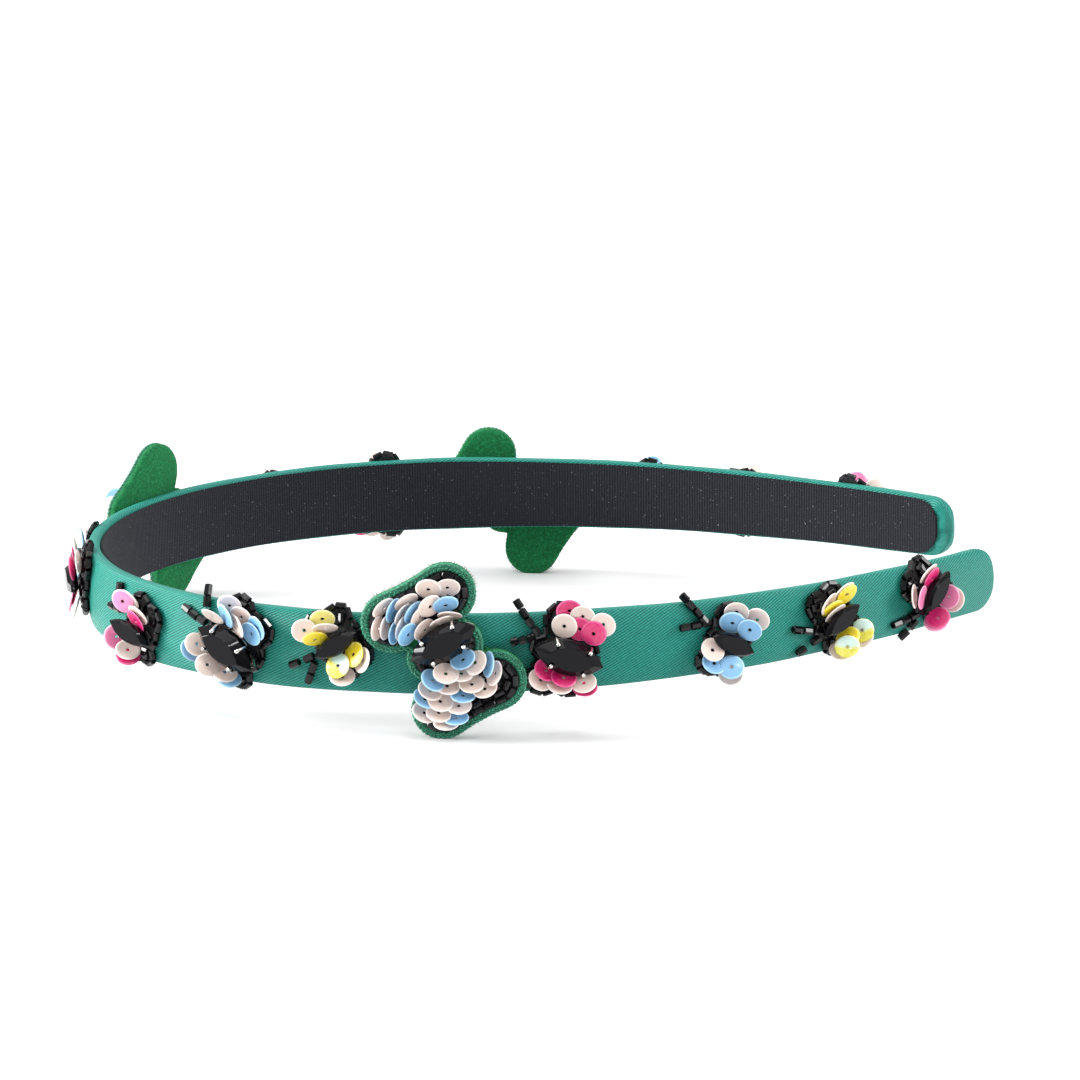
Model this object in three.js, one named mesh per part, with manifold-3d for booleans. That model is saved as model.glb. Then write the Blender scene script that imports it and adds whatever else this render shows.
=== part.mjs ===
// A covered headband with sequin butterflies, lying on its edge as it rests by itself.
// Millimetres, +Z up. The band bends around the head hollow: its crown is at -X, its two tips at +X.
import * as THREE from 'three';
import { mergeVertices } from 'three/addons/utils/BufferGeometryUtils.js';
import Module from 'manifold-3d';

const wasm = await Module();
wasm.setup();

// Band: one half is four arcs from the crown to a tip, and the other half mirrors it
const bandArcs = [
  { name: 'crown', length: 50, radius: 58 },
  { name: 'shoulder', length: 50, radius: 68 },
  { name: 'arm', length: 50, radius: 102 },
  { name: 'tip', length: 48.5, radius: 198 },
];
const widthAtCrown = 13;
const widthAtMiddle = 13.3;
const widthAtTip = 10.7;
const tipCornerRadius = 4.2;
const stationStep = 9.5;
const tipRoundingSteps = 4;

// Layers of the band, from the outer face inwards
const coverThickness = 2.2;
const coverCrown = 0.6;
const coverEdgeRadius = 0.55;
const layerGap = 0.3;
const liningThickness = 0.8;
const liningSideMargin = 0.4;
const liningTipMargin = 2.4;
const liningCornerRadius = 4.2;

// Felt patch under each large butterfly
const feltThickness = 1.6;
const seatGap = 0.3;

// Bed of stitched beads that carries the sequins
const patchBedThickness = 0.8;
const patchBedInset = 1.6;
const bandBedThickness = 1.1;

// Sequins: flat round discs in columns beside the body. Each has its inner edge sewn into the bed
// and its outer edge lifted over the next column, and neighbours in a column lie at two levels.
const sequinRadius = 2;
const sequinThickness = 0.35;
const sequinSides = 6;
const sequinBite = 0.55;
const sequinLevelStep = 0.4;
const stoneClearance = 0.3;

// Stones: marquise cut, with a table over a ring of crown facets
const claspedStone = { length: 12, width: 5.8, height: 2.8 };
const sewnStone = { length: 8.7, width: 3.4, height: 2.1 };
const facetsPerSide = 4;
const girdleShare = 0.45;
const tableShare = 0.62;
const baseShare = 0.72;

// Setting: a thin cup under the stone with four claws over its edge
const cupThickness = 0.5;
const clawWidth = 0.8;
const clawThickness = 0.6;
const clawReach = 0.5;
const clawClearance = 0.3;
const clawAlongShare = 0.5;
const clawRiseShare = 0.3;

// Outline of each kind of butterfly: a round fore lobe and hind lobe on each side of the body.
// A bridged wing has a straight edge from lobe to lobe in place of the notch between them.
// The stone lies to the right of the middle and ahead of it by the two numbers in stoneAt.
const wingForms = {
  large: {
    fore: { out: 8.3, ahead: 5.0, radius: 4.9 },
    hind: { out: 8.3, ahead: -5.0, radius: 4.9 },
    bridged: true,
    bodyHalfWidth: 4.3,
    headReach: 6.5,
    tailReach: 6.9,
    stoneAt: { out: 1.85, ahead: -1.1 },
  },
  medium: {
    fore: { out: 4.9, ahead: 2.2, radius: 3.3 },
    hind: { out: 4.4, ahead: -2.6, radius: 3.0 },
    bodyHalfWidth: 2.4,
    headReach: 6.3,
    tailReach: 6.2,
    bridged: false,
    stoneAt: { out: 0, ahead: 0 },
  },
  small: {
    fore: { out: 3.8, ahead: 1.7, radius: 2.8 },
    hind: { out: 3.4, ahead: -1.9, radius: 2.6 },
    bodyHalfWidth: 1.8,
    headReach: 4.8,
    tailReach: 4.5,
    bridged: false,
    stoneAt: { out: 0, ahead: 0 },
  },
};

// Straight pieces in the arc of one lobe
const lobeSteps = 4;

// Columns of sequins on one wing. Out is a share of the fore lobe's way out from the body.
// Each column runs from a share of the hind lobe's way back to a share of the fore lobe's way ahead.
const sequinColumns = {
  large: [
    { out: 1.25, back: 0.95, ahead: 1.1, count: 4 },
    { out: 1.01, back: 1.15, ahead: 1.3, count: 4 },
    { out: 0.75, back: 1.15, ahead: 1.15, count: 4 },
    { out: 0.5, back: 1.0, ahead: 1.1, count: 2 },
  ],
  medium: [
    { out: 1.49, back: 1.05, ahead: 1.2, count: 3 },
    { out: 1.1, back: 1.15, ahead: 1.35, count: 3 },
  ],
  small: [
    { out: 1.4, back: 0.95, ahead: 1.05, count: 2 },
    { out: 0.94, back: 0.95, ahead: 1.05, count: 2 },
  ],
};

// Butterflies: station runs from the crown, plus on the front arm and minus on the back arm.
// Heading turns the head anticlockwise from the way of rising station, seen from outside.
const butterflies = [
  { name: 'crown_front_pink', kind: 'small', station: 5, height: 1.6, heading: 160, tilts: [48, 40] },
  { name: 'front_pink', kind: 'small', station: 33, height: -1.2, heading: 157, tilts: [58, 22] },
  { name: 'front_blue', kind: 'medium', station: 54.3, height: -0.1, heading: 150, tilts: [58, 24] },
  { name: 'front_yellow', kind: 'small', station: 72.7, height: 2, heading: 213, tilts: [26, 24] },
  { name: 'front_patch', kind: 'large', station: 89.5, height: 1.3, heading: 209, tilts: [25, 25] },
  { name: 'front_magenta', kind: 'medium', station: 108.7, height: -0.1, heading: 161, tilts: [24, 30] },
  { name: 'arm_sky', kind: 'small', station: 136.6, height: -0.9, heading: 153, tilts: [22, 26] },
  { name: 'arm_yellow', kind: 'small', station: 157.8, height: 0.1, heading: 210, tilts: [58, 22] },
  { name: 'tip_pink', kind: 'small', station: 179.5, height: 1.2, heading: 227, tilts: [62, 22] },
  { name: 'crown_back_blue', kind: 'small', station: -14.5, height: 0.5, heading: 20, tilts: [30, 40] },
  { name: 'crown_patch', kind: 'large', station: -43, height: 0.8, heading: 318, tilts: [25, 25] },
  { name: 'back_yellow', kind: 'small', station: -66, height: 0, heading: 30, tilts: [24, 24] },
  { name: 'back_pink', kind: 'medium', station: -88.5, height: -0.2, heading: 20, tilts: [24, 30] },
  { name: 'back_patch', kind: 'large', station: -111, height: -2.3, heading: 305, tilts: [25, 25] },
  { name: 'back_sky', kind: 'small', station: -136.5, height: 0.1, heading: 28, tilts: [24, 24] },
  { name: 'back_dusk', kind: 'small', station: -155, height: 0, heading: 340, tilts: [24, 24] },
  { name: 'back_tip_rose', kind: 'small', station: -176.2, height: 0.6, heading: 25, tilts: [30, 24] },
];

// Finish of each kind of piece
const finishes = {
  cover: new THREE.MeshStandardMaterial({ color: 0x3fa98f, roughness: 0.55 }),
  lining: new THREE.MeshStandardMaterial({ color: 0x23262d, roughness: 0.9 }),
  felt: new THREE.MeshStandardMaterial({ color: 0x12663a, roughness: 0.95 }),
  sequin: new THREE.MeshStandardMaterial({ color: 0xe6cfc6, roughness: 0.3 }),
  stone: new THREE.MeshStandardMaterial({ color: 0x0c0c0e, roughness: 0.12 }),
  metal: new THREE.MeshStandardMaterial({ color: 0xd8d8d8, roughness: 0.2, metalness: 1 }),
};

const levellingPasses = 3;

const outerFace = (coverThickness + layerGap + liningThickness) / 2;
const coverSeat = outerFace - coverThickness;
const liningOuter = coverSeat - layerGap;
const liningInner = liningOuter - liningThickness;
const halfLength = bandArcs.reduce((sum, arc) => sum + arc.length, 0);

// Place, heading and outward way of the band's middle line at a signed station
function bandFrame(station) {
  const side = station < 0 ? -1 : 1;
  let left = Math.abs(station);
  let turn = 0;
  const place = new THREE.Vector2();
  for (const arc of bandArcs) {
    const last = arc === bandArcs[bandArcs.length - 1];
    const run = last ? left : Math.min(left, arc.length);
    const next = turn + run / arc.radius;
    place.x += arc.radius * (Math.cos(turn) - Math.cos(next));
    place.y += arc.radius * (Math.sin(next) - Math.sin(turn));
    turn = next;
    left -= run;
  }
  const along = new THREE.Vector3(side * Math.sin(turn), -Math.cos(turn), 0);
  const outward = new THREE.Vector3(-Math.cos(turn), -side * Math.sin(turn), 0);
  return { origin: new THREE.Vector3(place.x, -side * place.y, 0), along, outward };
}

function bandWidth(distance) {
  const middle = halfLength / 2;
  if (distance < middle) {
    return THREE.MathUtils.lerp(widthAtCrown, widthAtMiddle, distance / middle);
  }
  return THREE.MathUtils.lerp(widthAtMiddle, widthAtTip, (distance - middle) / middle);
}

// Half widths of a strip with rounded ends, from one tip to the other
function stripSections(endStation, sideMargin, cornerRadius) {
  const half = [];
  const straight = endStation - cornerRadius;
  const steps = Math.round(straight / stationStep);
  for (let i = 0; i < steps; i += 1) {
    const distance = (straight * (i + 0.5)) / steps;
    half.push({ distance, halfWidth: bandWidth(distance) / 2 - sideMargin });
  }
  for (let i = 0; i <= tipRoundingSteps; i += 1) {
    const angle = (Math.PI / 2) * (i / tipRoundingSteps);
    const distance = straight + cornerRadius * Math.sin(angle);
    const full = bandWidth(distance) / 2 - sideMargin;
    half.push({ distance, halfWidth: full - cornerRadius * (1 - Math.cos(angle)) });
  }
  const back = half.map((row) => ({ ...row, distance: -row.distance })).reverse();
  return [...back, ...half];
}

// One closed skin over rings of equally many points, with flat ends
function skinRings(rings) {
  const count = rings[0].length;
  const positions = rings.flat().flatMap((point) => [point.x, point.y, point.z]);
  const faces = [];
  for (let ring = 0; ring + 1 < rings.length; ring += 1) {
    for (let i = 0; i < count; i += 1) {
      const a = ring * count + i;
      const b = ring * count + ((i + 1) % count);
      faces.push(a, b + count, b, a, a + count, b + count);
    }
  }
  const top = (rings.length - 1) * count;
  for (let i = 1; i + 1 < count; i += 1) {
    faces.push(0, i, i + 1, top, top + i + 1, top + i);
  }
  const geometry = new THREE.BufferGeometry();
  geometry.setAttribute('position', new THREE.Float32BufferAttribute(positions, 3));
  geometry.setIndex(faces);
  return geometry;
}

// A strip along the band: sectionOf gives its section as points out from the middle line and up
function stripAlongBand(sections, sectionOf) {
  const rings = sections.map(({ distance, halfWidth }) => {
    const { origin, outward } = bandFrame(distance);
    return sectionOf(halfWidth).map(({ out, up }) => (
      origin.clone().addScaledVector(outward, out).setZ(up)
    ));
  });
  return skinRings(rings);
}

function coverSection(halfWidth) {
  const sideOut = (coverSeat + outerFace - coverCrown) / 2;
  const shoulderOut = outerFace - coverCrown;
  const flat = halfWidth - coverEdgeRadius;
  const lower = [
    { out: coverSeat, up: -flat },
    { out: sideOut, up: -halfWidth },
    { out: shoulderOut, up: -flat },
    { out: outerFace - coverCrown / 4, up: -flat / 2 },
  ];
  const upper = lower.map(({ out, up }) => ({ out, up: -up })).reverse();
  return [...lower, { out: outerFace, up: 0 }, ...upper];
}

function liningSection(halfWidth) {
  return [
    { out: liningInner, up: -halfWidth },
    { out: liningOuter, up: -halfWidth },
    { out: liningOuter, up: halfWidth },
    { out: liningInner, up: halfWidth },
  ];
}

function makeCover() {
  return stripAlongBand(stripSections(halfLength, 0, tipCornerRadius), coverSection);
}

function makeLining() {
  const end = halfLength - liningTipMargin;
  return stripAlongBand(stripSections(end, liningSideMargin, liningCornerRadius), liningSection);
}

function toSolid(geometry) {
  const bare = geometry.clone();
  bare.deleteAttribute('normal');
  bare.deleteAttribute('uv');
  const merged = mergeVertices(bare, 1e-4);
  return new wasm.Manifold(new wasm.Mesh({
    numProp: 3,
    vertProperties: new Float32Array(merged.attributes.position.array),
    triVerts: new Uint32Array(merged.index.array),
  }));
}

function toGeometry(solid) {
  const mesh = solid.getMesh();
  const geometry = new THREE.BufferGeometry();
  geometry.setAttribute('position', new THREE.BufferAttribute(mesh.vertProperties, 3));
  geometry.setIndex(new THREE.BufferAttribute(mesh.triVerts, 1));
  return geometry;
}

function fuse(geometries) {
  return geometries.map(toSolid).reduce((whole, solid) => whole.add(solid));
}

// Where two lobes of one wing cross, seen from the body outwards
function lobeCrossing(fore, hind) {
  const across = new THREE.Vector2(fore.out - hind.out, fore.ahead - hind.ahead);
  const spread = across.length();
  const share = (spread * spread + hind.radius ** 2 - fore.radius ** 2) / (2 * spread);
  const rise = Math.sqrt(Math.max(hind.radius ** 2 - share ** 2, 0));
  const way = across.normalize();
  return new THREE.Vector2(
    hind.out + way.x * share + way.y * rise,
    hind.ahead + way.y * share - way.x * rise,
  );
}

// Angle at which a straight edge leaves two lobes, seen from either lobe's middle
function bridgeAngle(fore, hind) {
  const across = new THREE.Vector2(fore.out - hind.out, fore.ahead - hind.ahead);
  return across.angle() - Math.acos((hind.radius - fore.radius) / across.length());
}

function lobeArc(lobe, fromAngle, toAngle) {
  return Array.from({ length: lobeSteps + 1 }, (_, i) => {
    const angle = THREE.MathUtils.lerp(fromAngle, toAngle, i / lobeSteps);
    return new THREE.Vector2(
      lobe.out + lobe.radius * Math.cos(angle),
      lobe.ahead + lobe.radius * Math.sin(angle),
    );
  });
}

// Outline of a whole butterfly, drawn inside its form by the inset
function butterflyOutline(form, inset) {
  const fore = { ...form.fore, radius: form.fore.radius - inset };
  const hind = { ...form.hind, radius: form.hind.radius - inset };
  const crossing = lobeCrossing(fore, hind);
  const innerAngle = (lobe) => (form.bridged
    ? bridgeAngle(fore, hind)
    : Math.atan2(crossing.y - lobe.ahead, crossing.x - lobe.out));
  const bodyAngle = (lobe) => Math.acos(THREE.MathUtils.clamp(
    (form.bodyHalfWidth - lobe.out) / lobe.radius,
    -1,
    1,
  ));
  const right = [
    ...lobeArc(hind, -bodyAngle(hind), innerAngle(hind)),
    ...lobeArc(fore, innerAngle(fore), bodyAngle(fore)).slice(form.bridged ? 0 : 1),
  ];
  const left = right.map((point) => new THREE.Vector2(-point.x, point.y)).reverse();
  const head = new THREE.Vector2(0, form.headReach - inset);
  const tail = new THREE.Vector2(0, inset - form.tailReach);
  return [tail, ...right, head, ...left];
}

function slab(outline, bottom, thickness) {
  const geometry = new THREE.ExtrudeGeometry(new THREE.Shape(outline), {
    depth: thickness,
    bevelEnabled: false,
    curveSegments: 1,
  });
  return geometry.translate(0, 0, bottom);
}

// Turns a sequin's polygon so that one flat edge faces the body
const sequinTurn = sequinSides % 4 === 0 ? Math.PI / sequinSides : 0;

// One sequin beside the stone: side is 1 for the right wing and -1 for the left
function sequin({ place, side, level }, tilt, bedTop) {
  const disc = new THREE.CylinderGeometry(
    sequinRadius,
    sequinRadius,
    sequinThickness,
    sequinSides,
    1,
    false,
    sequinTurn,
  );
  disc.rotateX(Math.PI / 2);
  disc.rotateY(-side * tilt);
  const flatEdge = sequinRadius * Math.cos(Math.PI / sequinSides);
  const middle = flatEdge * Math.sin(tilt) + (sequinThickness / 2) * Math.cos(tilt);
  const up = bedTop - sequinBite + middle + level * sequinLevelStep;
  return disc.translate(side * place.x + place.shift, place.y, up);
}

// Places of the sequins on one wing, column by column, each at one of two levels.
// The inner columns shift with a stone that lies beside the middle.
function wingPlaces(kind) {
  const { fore, hind, stoneAt } = wingForms[kind];
  const outermost = sequinColumns[kind].at(0).out;
  const innermost = sequinColumns[kind].at(-1).out;
  return sequinColumns[kind].flatMap(({ out, back, ahead, count }) => (
    Array.from({ length: count }, (_, i) => ({
      place: {
        x: fore.out * out,
        y: THREE.MathUtils.lerp(hind.ahead * back, fore.ahead * ahead, i / (count - 1)),
        shift: stoneAt.out * ((outermost - out) / (outermost - innermost)),
      },
      level: i % 2,
    }))
  ));
}

function marquiseOutline(length, width) {
  const radius = (length ** 2 + width ** 2) / (4 * width);
  const halfAngle = Math.asin(length / 2 / radius);
  const side = Array.from({ length: facetsPerSide }, (_, i) => {
    const angle = halfAngle - (2 * halfAngle * i) / facetsPerSide;
    return new THREE.Vector2(
      radius * Math.cos(angle) - (radius - width / 2),
      radius * Math.sin(angle),
    );
  });
  const other = side.map((point) => new THREE.Vector2(-point.x, -point.y));
  return [...side, ...other];
}

// Bed and sequins of one butterfly as one body, with room for the stone and its setting
function makeWings(kind, tilts, bottom) {
  const form = wingForms[kind];
  const large = kind === 'large';
  const thickness = large ? patchBedThickness : bandBedThickness;
  const bedTop = bottom + thickness;
  const bed = slab(butterflyOutline(form, large ? patchBedInset : 0), bottom, thickness);
  const sequins = [1, -1].flatMap((side, wing) => {
    const tilt = THREE.MathUtils.degToRad(tilts[wing]);
    return wingPlaces(kind).map((row) => sequin({ ...row, side }, tilt, bedTop));
  });
  const stone = kind === 'small' ? sewnStone : claspedStone;
  const around = kind === 'small'
    ? stoneClearance
    : clawClearance + clawThickness + stoneClearance;
  const room = slab(
    marquiseOutline(stone.length + 2 * around, stone.width + 2 * around),
    bedTop,
    2 * sequinRadius + stone.height,
  ).translate(form.stoneAt.out, form.stoneAt.ahead, 0);
  return toGeometry(fuse([bed, ...sequins]).subtract(toSolid(room)));
}

function makeStone(stone, bottom) {
  const levels = [
    { share: baseShare, up: 0 },
    { share: 1, up: stone.height * girdleShare },
    { share: tableShare, up: stone.height },
  ];
  return skinRings(levels.map(({ share, up }) => (
    marquiseOutline(stone.length, stone.width)
      .map((point) => new THREE.Vector3(point.x * share, point.y * share, bottom + up))
  )));
}

// One claw: a post beside the stone with a short hook over its crown facets
function makeClaw(bottom, top) {
  const shape = new THREE.Shape();
  shape.moveTo(0, bottom);
  shape.lineTo(clawThickness, bottom);
  shape.lineTo(clawThickness, top);
  shape.lineTo(-clawReach, top);
  shape.lineTo(0, top - clawThickness);
  shape.closePath();
  const claw = new THREE.ExtrudeGeometry(shape, { depth: clawWidth, bevelEnabled: false });
  claw.translate(0, 0, -clawWidth / 2);
  return claw.rotateX(Math.PI / 2);
}

function makeSetting(stone, bottom) {
  const radius = (stone.length ** 2 + stone.width ** 2) / (4 * stone.width);
  const along = (stone.length / 2) * clawAlongShare;
  const edge = Math.sqrt(radius ** 2 - along ** 2) - (radius - stone.width / 2);
  const stoneBottom = bottom + cupThickness + layerGap;
  const clawTop = stoneBottom + stone.height * (girdleShare + clawRiseShare) + clawThickness;
  const rim = 2 * (clawClearance + clawThickness);
  const cup = slab(marquiseOutline(stone.length + rim, stone.width + rim), bottom, cupThickness);
  const claws = [0, Math.PI].flatMap((turn) => [1, -1].map((end) => (
    makeClaw(bottom, clawTop)
      .translate(edge + clawClearance, 0, 0)
      .rotateZ(turn)
      .translate(0, end * along, 0)
  )));
  return toGeometry(fuse([cup, ...claws]));
}

function named(name, geometry, finish) {
  const mesh = new THREE.Mesh(geometry, finishes[finish]);
  mesh.name = name;
  return mesh;
}

// A butterfly lies flat on the band: +X is its right wing, +Y its head and +Z the way out
function makeButterfly({ name, kind, station, height, heading, tilts }) {
  const group = new THREE.Group();
  const large = kind === 'large';
  const bedBottom = large ? feltThickness + layerGap : 0;
  const bedTop = bedBottom + (large ? patchBedThickness : bandBedThickness);
  if (large) {
    const felt = slab(butterflyOutline(wingForms.large, 0), 0, feltThickness);
    group.add(named(`${name}_felt`, felt, 'felt'));
  }
  group.add(named(`${name}_wings`, makeWings(kind, tilts, bedBottom), 'sequin'));
  const { stoneAt } = wingForms[kind];
  if (kind === 'small') {
    const stone = makeStone(sewnStone, bedTop + layerGap);
    group.add(named(`${name}_stone`, stone.translate(stoneAt.out, stoneAt.ahead, 0), 'stone'));
  } else {
    const settingBottom = bedTop + layerGap;
    const setting = makeSetting(claspedStone, settingBottom);
    const stone = makeStone(claspedStone, settingBottom + cupThickness + layerGap);
    group.add(named(`${name}_setting`, setting.translate(stoneAt.out, stoneAt.ahead, 0), 'metal'));
    group.add(named(`${name}_stone`, stone.translate(stoneAt.out, stoneAt.ahead, 0), 'stone'));
  }
  const { origin, along, outward } = bandFrame(station);
  const up = new THREE.Vector3(0, 0, 1);
  const angle = THREE.MathUtils.degToRad(heading);
  const head = along.clone().multiplyScalar(Math.cos(angle)).addScaledVector(up, Math.sin(angle));
  const right = along.clone().multiplyScalar(Math.sin(angle)).addScaledVector(up, -Math.cos(angle));
  group.quaternion.setFromRotationMatrix(new THREE.Matrix4().makeBasis(right, head, outward));
  group.position.copy(origin).addScaledVector(outward, outerFace + seatGap).setZ(height);
  return group;
}

// Lowest corner of one named mesh
function lowestPoint(root, name) {
  const mesh = root.getObjectByName(name);
  const points = mesh.geometry.attributes.position;
  let lowest = null;
  for (let i = 0; i < points.count; i += 1) {
    const point = new THREE.Vector3().fromBufferAttribute(points, i).applyMatrix4(mesh.matrixWorld);
    if (lowest === null || point.z < lowest.z) {
      lowest = point;
    }
  }
  return lowest;
}

// Turns the headband until it stands level on its three felt patches, as it rests by itself
function restOnPatches(root) {
  const patches = butterflies.filter(({ kind }) => kind === 'large');
  for (let pass = 0; pass < levellingPasses; pass += 1) {
    root.updateMatrixWorld(true);
    const [a, b, c] = patches.map(({ name }) => lowestPoint(root, `${name}_felt`));
    const normal = b.sub(a).cross(c.sub(a)).normalize();
    if (normal.z < 0) {
      normal.negate();
    }
    const turn = new THREE.Quaternion().setFromUnitVectors(normal, new THREE.Vector3(0, 0, 1));
    root.quaternion.premultiply(turn);
  }
  root.updateMatrixWorld(true);
}

// Sets the origin under the middle of the whole headband, on the surface that it stands on
function centreOverOrigin(root) {
  const box = new THREE.Box3().setFromObject(root, true);
  root.position.set(
    -(box.min.x + box.max.x) / 2,
    -(box.min.y + box.max.y) / 2,
    -box.min.z,
  );
}

const headband = new THREE.Group();
headband.add(named('band_cover', makeCover(), 'cover'));
headband.add(named('band_lining', makeLining(), 'lining'));
butterflies.forEach((row) => headband.add(makeButterfly(row)));

const part = new THREE.Group();
part.add(headband);
restOnPatches(headband);
centreOverOrigin(headband);

export default part;
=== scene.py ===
import math

import bpy
import numpy as np
from mathutils import Matrix, Vector


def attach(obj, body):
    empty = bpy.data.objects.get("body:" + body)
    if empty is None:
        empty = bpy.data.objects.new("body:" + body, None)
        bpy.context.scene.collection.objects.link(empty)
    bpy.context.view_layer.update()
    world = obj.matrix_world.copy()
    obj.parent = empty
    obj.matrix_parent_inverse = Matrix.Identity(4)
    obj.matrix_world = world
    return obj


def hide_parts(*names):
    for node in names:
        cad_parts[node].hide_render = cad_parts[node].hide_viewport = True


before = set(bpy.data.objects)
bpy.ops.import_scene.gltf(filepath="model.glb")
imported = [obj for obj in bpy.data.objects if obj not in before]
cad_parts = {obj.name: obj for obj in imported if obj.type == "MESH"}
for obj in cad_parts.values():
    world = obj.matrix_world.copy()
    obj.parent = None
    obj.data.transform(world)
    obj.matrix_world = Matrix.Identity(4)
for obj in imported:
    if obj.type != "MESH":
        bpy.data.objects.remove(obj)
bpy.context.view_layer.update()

# Shapes are built in millimetres and stored in metres
MM = 0.001
FLOOR_CLEARANCE = 0.01
UP = np.array([0.0, 0.0, 1.0])

# Band, as in the CAD: length and radius of each arc of one half, from the crown to a tip
BAND_ARCS = [(50, 58), (50, 68), (50, 102), (48.5, 198)]
HALF_LENGTH = 198.5
WIDTH_CROWN, WIDTH_MIDDLE, WIDTH_TIP = 13, 13.3, 10.7
TIP_CORNER = 4.2
OUTER_FACE, COVER_SEAT, COVER_CROWN = 1.65, -1.15, 0.6
COVER_STEP, NOSE_LENGTH, EDGE_SQUARENESS = 0.85, 0.9, 7
SLACK, EDGE_WANDER, PLEAT_DEPTH, PLEATS = 0.035, 0.05, 0.16, 9
LINING_OUTER, LINING_INNER, LINING_BULGE = -1.2, -1.65, 0.12
LINING_STEP, LINING_MARGIN, LINING_TIP_MARGIN = 1.2, 0.4, 2.4

# Heights over a butterfly's seat
SEAT_GAP, LAYER_GAP = 0.3, 0.3
FELT_THICKNESS = 1.6
PATCH_BED = FELT_THICKNESS + 0.3
PATCH_BED_TOP = PATCH_BED + 0.8
BAND_BED_TOP = 1.1
CUP_THICKNESS = 0.5

# Stones, with the rings of their facets as share of the outline and share of the height
FACETS = 12
GIRDLE_SHARE = 0.45
CLASPED = {
    "length": 12, "width": 5.8, "height": 2.8,
    "rings": [
        (0.72, 0), (0.985, GIRDLE_SHARE * 0.82), (1.0, GIRDLE_SHARE * 0.9), (1.0, GIRDLE_SHARE * 1.08),
        (0.93, GIRDLE_SHARE * 1.32), (0.655, 0.985), (0.63, 1.0),
    ],
}
SEWN = {
    "length": 8.7, "width": 3.4, "height": 2.1,
    "rings": [(0.72, 0), (0.985, 0.3), (1.0, 0.36), (1.0, 0.5), (0.95, 0.66), (0.8, 0.88), (0.78, 0.9)],
}

SEQUIN_RADIUS, SEQUIN_THICKNESS, SEQUIN_HOLE = 2.1, 0.26, 0.28
SEQUIN_GAP, SEQUIN_MOST_RAISED, STEEPEST_LEAN = 0.2, 1.6, 74
SEQUIN_CUPS = [0.22, 0.12, -0.12]
BEAD_LENGTH, BEAD_RADIUS, BEAD_PITCH, SHORTEST_ROW = 1.9, 0.56, 2.1, 4
FELT_INSET, FELT_STEP, FUZZ_COUNT = 0.1, 0.45, 2600
PATCH_GROUND_INSET, BAND_GROUND_INSET = 1.35, 0.55
YARN_STEP, YARN_INSET, YARN_SWAY, STRAND_RADIUS, BRAID_TURN = 0.2, 0.55, 0.4, 0.31, 2.3

# Round lobes of one wing as out, ahead and radius, where the stone lies from the middle and how
# far inside the outline each row of beads runs. A bridged wing has a straight edge from lobe to
# lobe in place of the notch between them.
FORMS = {
    "large": {
        "lobes": [(8.3, 5.0, 4.9), (8.3, -5.0, 4.9)], "bridged": True, "body": 4.1, "head": 6.5,
        "tail": 6.9, "stone": (1.85, -1.1), "gem": CLASPED, "bed_top": PATCH_BED_TOP,
        "bead_insets": (1.75, 2.9, 4.05, 5.2),
    },
    "medium": {
        "lobes": [(4.9, 2.2, 3.3), (4.4, -2.6, 3.0)], "body": 2.4, "head": 6.3, "tail": 6.2,
        "stone": (0, 0), "gem": CLASPED, "bed_top": BAND_BED_TOP,
        "bead_insets": (0.4, 1.5, 2.6),
    },
    "small": {
        "lobes": [(3.8, 1.7, 2.8), (3.4, -1.9, 2.6)], "body": 1.8, "head": 4.8, "tail": 4.5,
        "stone": (0, 0), "gem": SEWN, "bed_top": BAND_BED_TOP,
        "bead_insets": (0.35, 1.45),
    },
}

# The photograph's view of the band, in the band's own frame
VIEW_PLACE = np.array([-7.65, -902.4, 213.83])
VIEW_ELEVATION, VIEW_YAW, VIEW_ROLL = math.radians(13), 0.09374, 0.01093
VIEW_DEPTH = 930.6
FOCAL_SHARE = 5357.52 / 1080

# Sequins as the photograph shows them, the lowest first: millimetres right and up of the
# stone's middle at the depth of the band's middle, colour, how open the disc looks (1 is face
# on), and the way that its face leans, in degrees anticlockwise from the view's right
PATCH_SEQUINS = [
    (-10.3, 6.3, "cream", 0.45, 311), (-11.3, 2.8, "cream", 0.45, 347), (-10.1, 3.0, "cream", 0.42, 347),
    (-8.8, 6.0, "sky", 0.42, 337), (-8.5, 2.2, "sky", 0.45, 345), (-6.3, 7.3, "cream", 0.45, 301),
    (-7.1, 5.3, "pearl", 0.42, 325), (-7.0, 2.8, "pearl", 0.42, 340), (-5.0, 5.5, "sky", 0.48, 324),
    (-4.0, 4.8, "cream", 0.45, 325), (-6.0, 1.7, "sky", 0.6, 325), (0.8, 9.9, "cream", 0.7, 275),
    (-2.5, 9.6, "cream", 0.72, 265), (-2.2, 6.6, "cream", 0.7, 310), (0.5, 6.8, "sky", 0.62, 285),
    (1.2, 5.2, "cream", 0.3, 268), (-3.2, 2.5, "cream", 0.55, 320), (-0.2, 3.9, "cream", 0.27, 292),
    (0.5, -13.6, "cream", 0.6, 90), (2.2, -13.0, "sky", 0.55, 92), (-3.3, -12.0, "cream", 0.75, 60),
    (-0.8, -12.0, "cream", 0.7, 80), (2.7, -10.8, "cream", 0.72, 90), (-3.2, -9.6, "sky", 0.7, 60),
    (-0.5, -10.0, "cream", 0.8, 75), (3.5, -9.0, "sky", 0.6, 90), (-2.3, -8.1, "cream", 0.75, 60),
    (7.3, -7.8, "cream", 0.75, 110), (0.7, -7.3, "cream", 0.72, 80), (9.1, -5.1, "cream", 0.55, 165),
    (5.0, -7.0, "cream", 0.75, 95), (-1.8, -6.3, "sky", 0.75, 50), (3.2, -5.1, "cream", 0.7, 90),
    (0.5, -5.1, "cream", 0.8, 80), (8.0, -3.5, "sky", 0.42, 175), (5.6, -3.2, "cream", 0.75, 150),
    (3.5, -2.7, "sky", 0.75, 120),
]
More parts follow.
